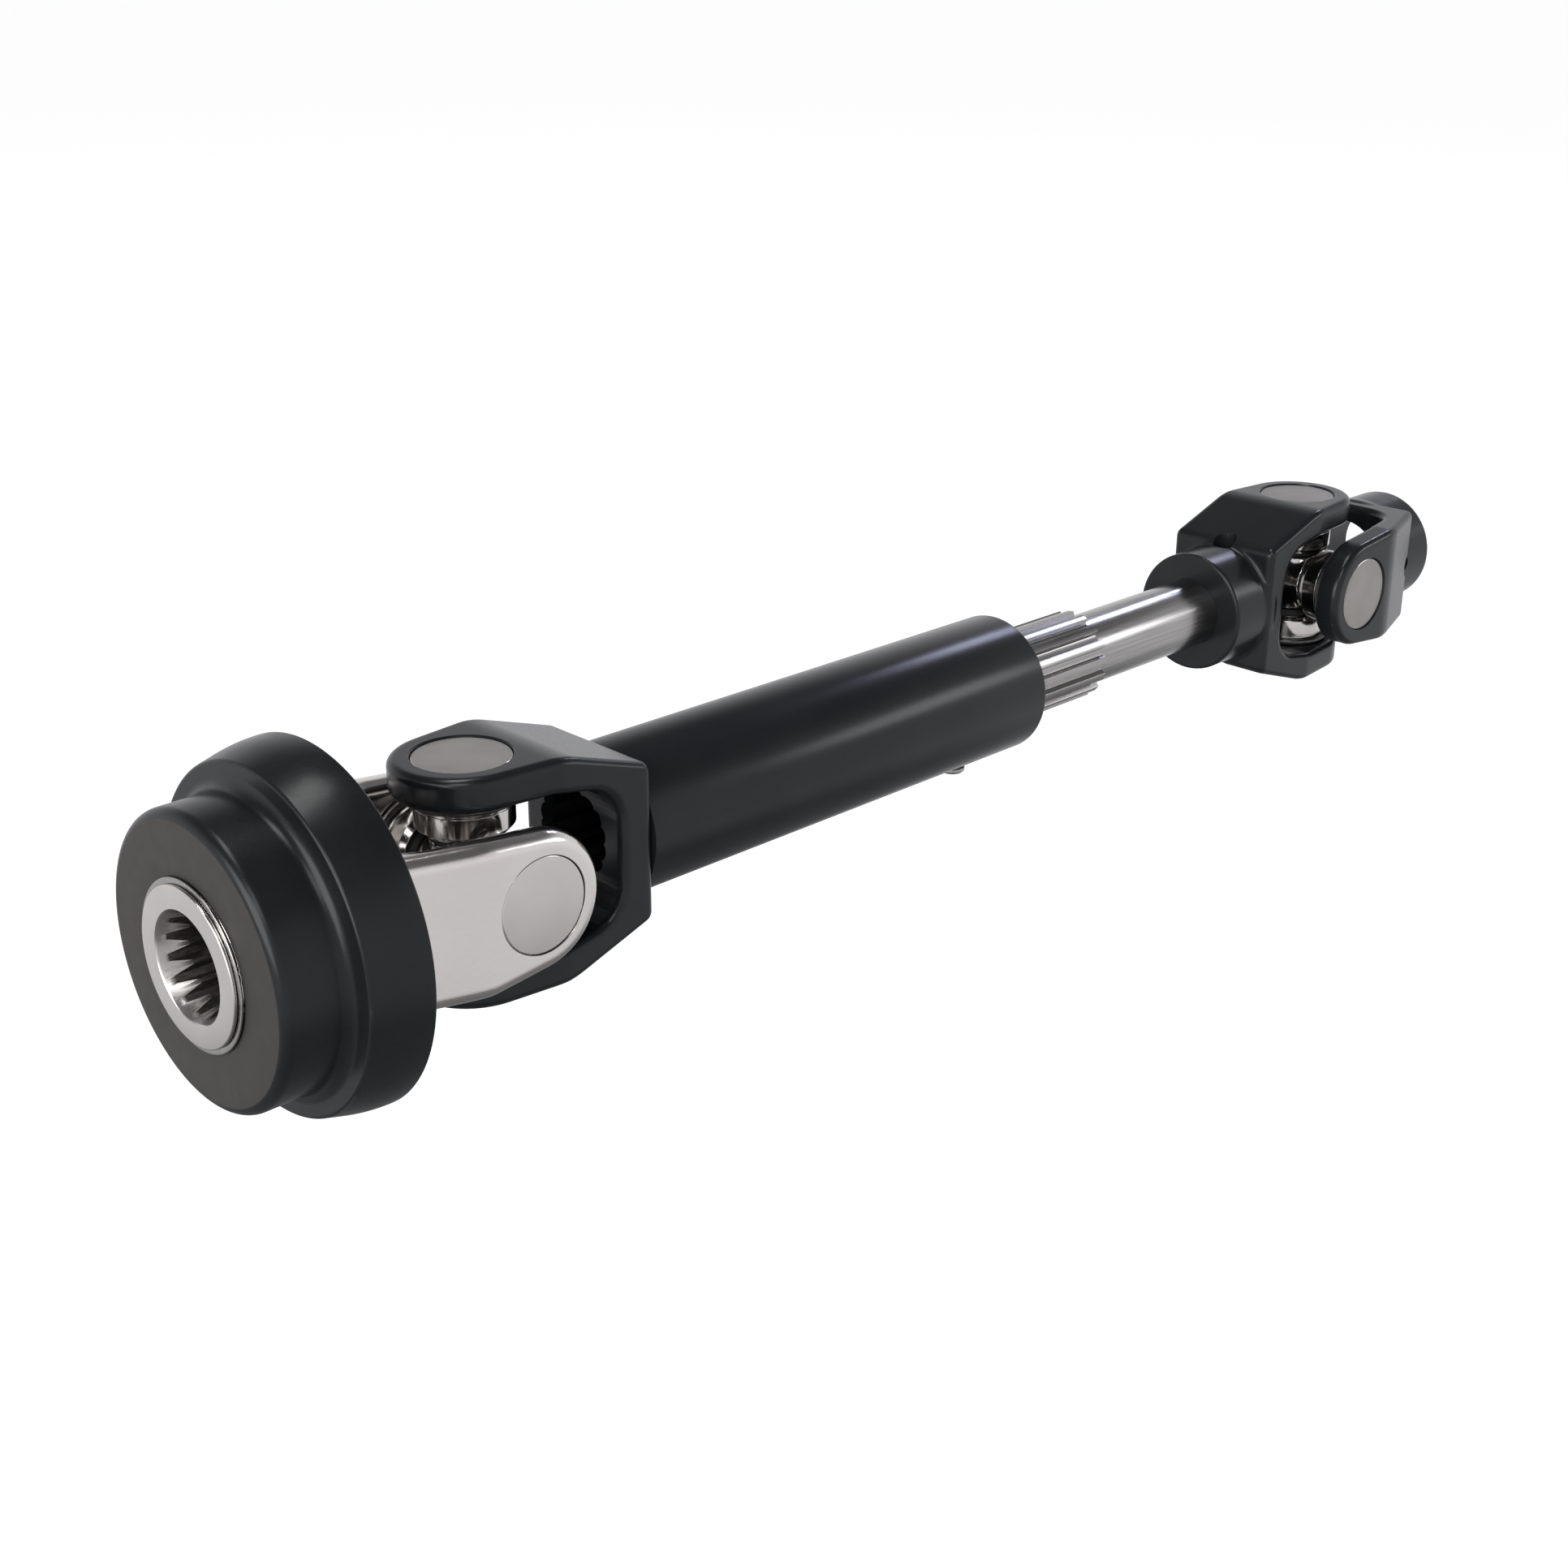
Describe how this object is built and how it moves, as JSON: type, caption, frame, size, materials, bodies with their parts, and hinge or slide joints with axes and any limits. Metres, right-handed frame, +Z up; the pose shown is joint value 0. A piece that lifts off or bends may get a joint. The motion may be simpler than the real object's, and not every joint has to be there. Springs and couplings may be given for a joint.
{
  "type": "universal joint shaft",
  "caption": "Telescoping drive shaft with a cross universal joint at each end, a splined quick-release hub with a pull collar, a sliding spline and a plain-bore output fork.",
  "frame": {"origin": "on the surface the shaft lies on, under the middle of its length", "axes": "+X along the shaft from the splined quick-release hub to the plain-bore fork, +Z up, +Y across"},
  "size_m": [0.4958, 0.0906, 0.0906],
  "materials": {
    "black_paint": "satin black enamel on forged steel",
    "grip_black": "matte dark coating",
    "polished_steel": "polished machined forging",
    "bearing_steel": "ground and polished",
    "ground_steel": "bright ground bar",
    "spring_steel": "oiled spring steel",
    "seal_rubber": "black seal rubber"
  },
  "bodies": {
    "sleeve": {"sleeve_yoke": "black_paint", "spline_sleeve": "black_paint", "grease_nipple": "ground_steel", "front_top_cup": "bearing_steel", "front_top_needles": "bearing_steel", "front_top_clip": "spring_steel", "front_top_seal": "seal_rubber", "front_bottom_cup": "bearing_steel", "front_bottom_needles": "bearing_steel", "front_bottom_clip": "spring_steel", "front_bottom_seal": "seal_rubber"},
    "front_cross": {"front_cross": "bearing_steel"},
    "input": {"input_yoke": "polished_steel", "collar_spring": "spring_steel", "collar_snap_ring": "ground_steel", "front_right_cup": "bearing_steel", "front_right_needles": "bearing_steel", "front_right_clip": "spring_steel", "front_right_seal": "seal_rubber", "front_left_cup": "bearing_steel", "front_left_needles": "bearing_steel", "front_left_clip": "spring_steel", "front_left_seal": "seal_rubber"},
    "collar": {"release_collar": "grip_black"},
    "ball_1": {"locking_ball_1": "bearing_steel"},
    "ball_2": {"locking_ball_2": "bearing_steel"},
    "ball_3": {"locking_ball_3": "bearing_steel"},
    "shaft": {"splined_shaft": "ground_steel", "shaft_yoke": "black_paint", "shaft_pin": "spring_steel", "rear_top_cup": "bearing_steel", "rear_top_needles": "bearing_steel", "rear_top_clip": "spring_steel", "rear_top_seal": "seal_rubber", "rear_bottom_cup": "bearing_steel", "rear_bottom_needles": "bearing_steel", "rear_bottom_clip": "spring_steel", "rear_bottom_seal": "seal_rubber"},
    "rear_cross": {"rear_cross": "bearing_steel"},
    "output": {"output_yoke": "black_paint", "rear_right_cup": "bearing_steel", "rear_right_needles": "bearing_steel", "rear_right_clip": "spring_steel", "rear_right_seal": "seal_rubber", "rear_left_cup": "bearing_steel", "rear_left_needles": "bearing_steel", "rear_left_clip": "spring_steel", "rear_left_seal": "seal_rubber"}
  },
  "joints": [
    {"name": "front_cross_turn", "type": "hinge", "parent": "sleeve", "child": "front_cross", "pos_m": [-0.17067, 0, 0.0453], "axis": [0, 0, 1], "range_deg": [-30, 30]},
    {"name": "input_turn", "type": "hinge", "parent": "front_cross", "child": "input", "pos_m": [-0.17067, 0, 0.0453], "axis": [0, 1, 0], "range_deg": [-30, 30]},
    {"name": "collar_slide", "type": "slide", "parent": "input", "child": "collar", "axis": [1, 0, 0], "range_m": [0, 0.008], "stiffness_N_per_m": 900, "deforming": ["collar_spring"]},
    {"name": "ball_1_slide", "type": "slide", "parent": "input", "child": "ball_1", "axis": [0, 1, 0], "range_m": [0, 0.0016]},
    {"name": "ball_2_slide", "type": "slide", "parent": "input", "child": "ball_2", "axis": [0, -0.5, -0.866], "range_m": [0, 0.0016]},
    {"name": "ball_3_slide", "type": "slide", "parent": "input", "child": "ball_3", "axis": [0, -0.5, 0.866], "range_m": [0, 0.0016]},
    {"name": "shaft_slide", "type": "slide", "parent": "sleeve", "child": "shaft", "axis": [1, 0, 0], "range_m": [-0.06, 0.04]},
    {"name": "rear_cross_turn", "type": "hinge", "parent": "shaft", "child": "rear_cross", "pos_m": [0.18793, 0, 0.0453], "axis": [0, 0, 1], "range_deg": [-30, 30]},
    {"name": "output_turn", "type": "hinge", "parent": "rear_cross", "child": "output", "pos_m": [0.18793, 0, 0.0453], "axis": [0, 1, 0], "range_deg": [-30, 30]}
  ],
  "couplings": [
    {"joint": "ball_1_slide", "follows": "collar_slide", "ratio": 0.2},
    {"joint": "ball_2_slide", "follows": "collar_slide", "ratio": 0.2},
    {"joint": "ball_3_slide", "follows": "collar_slide", "ratio": 0.2}
  ]
}
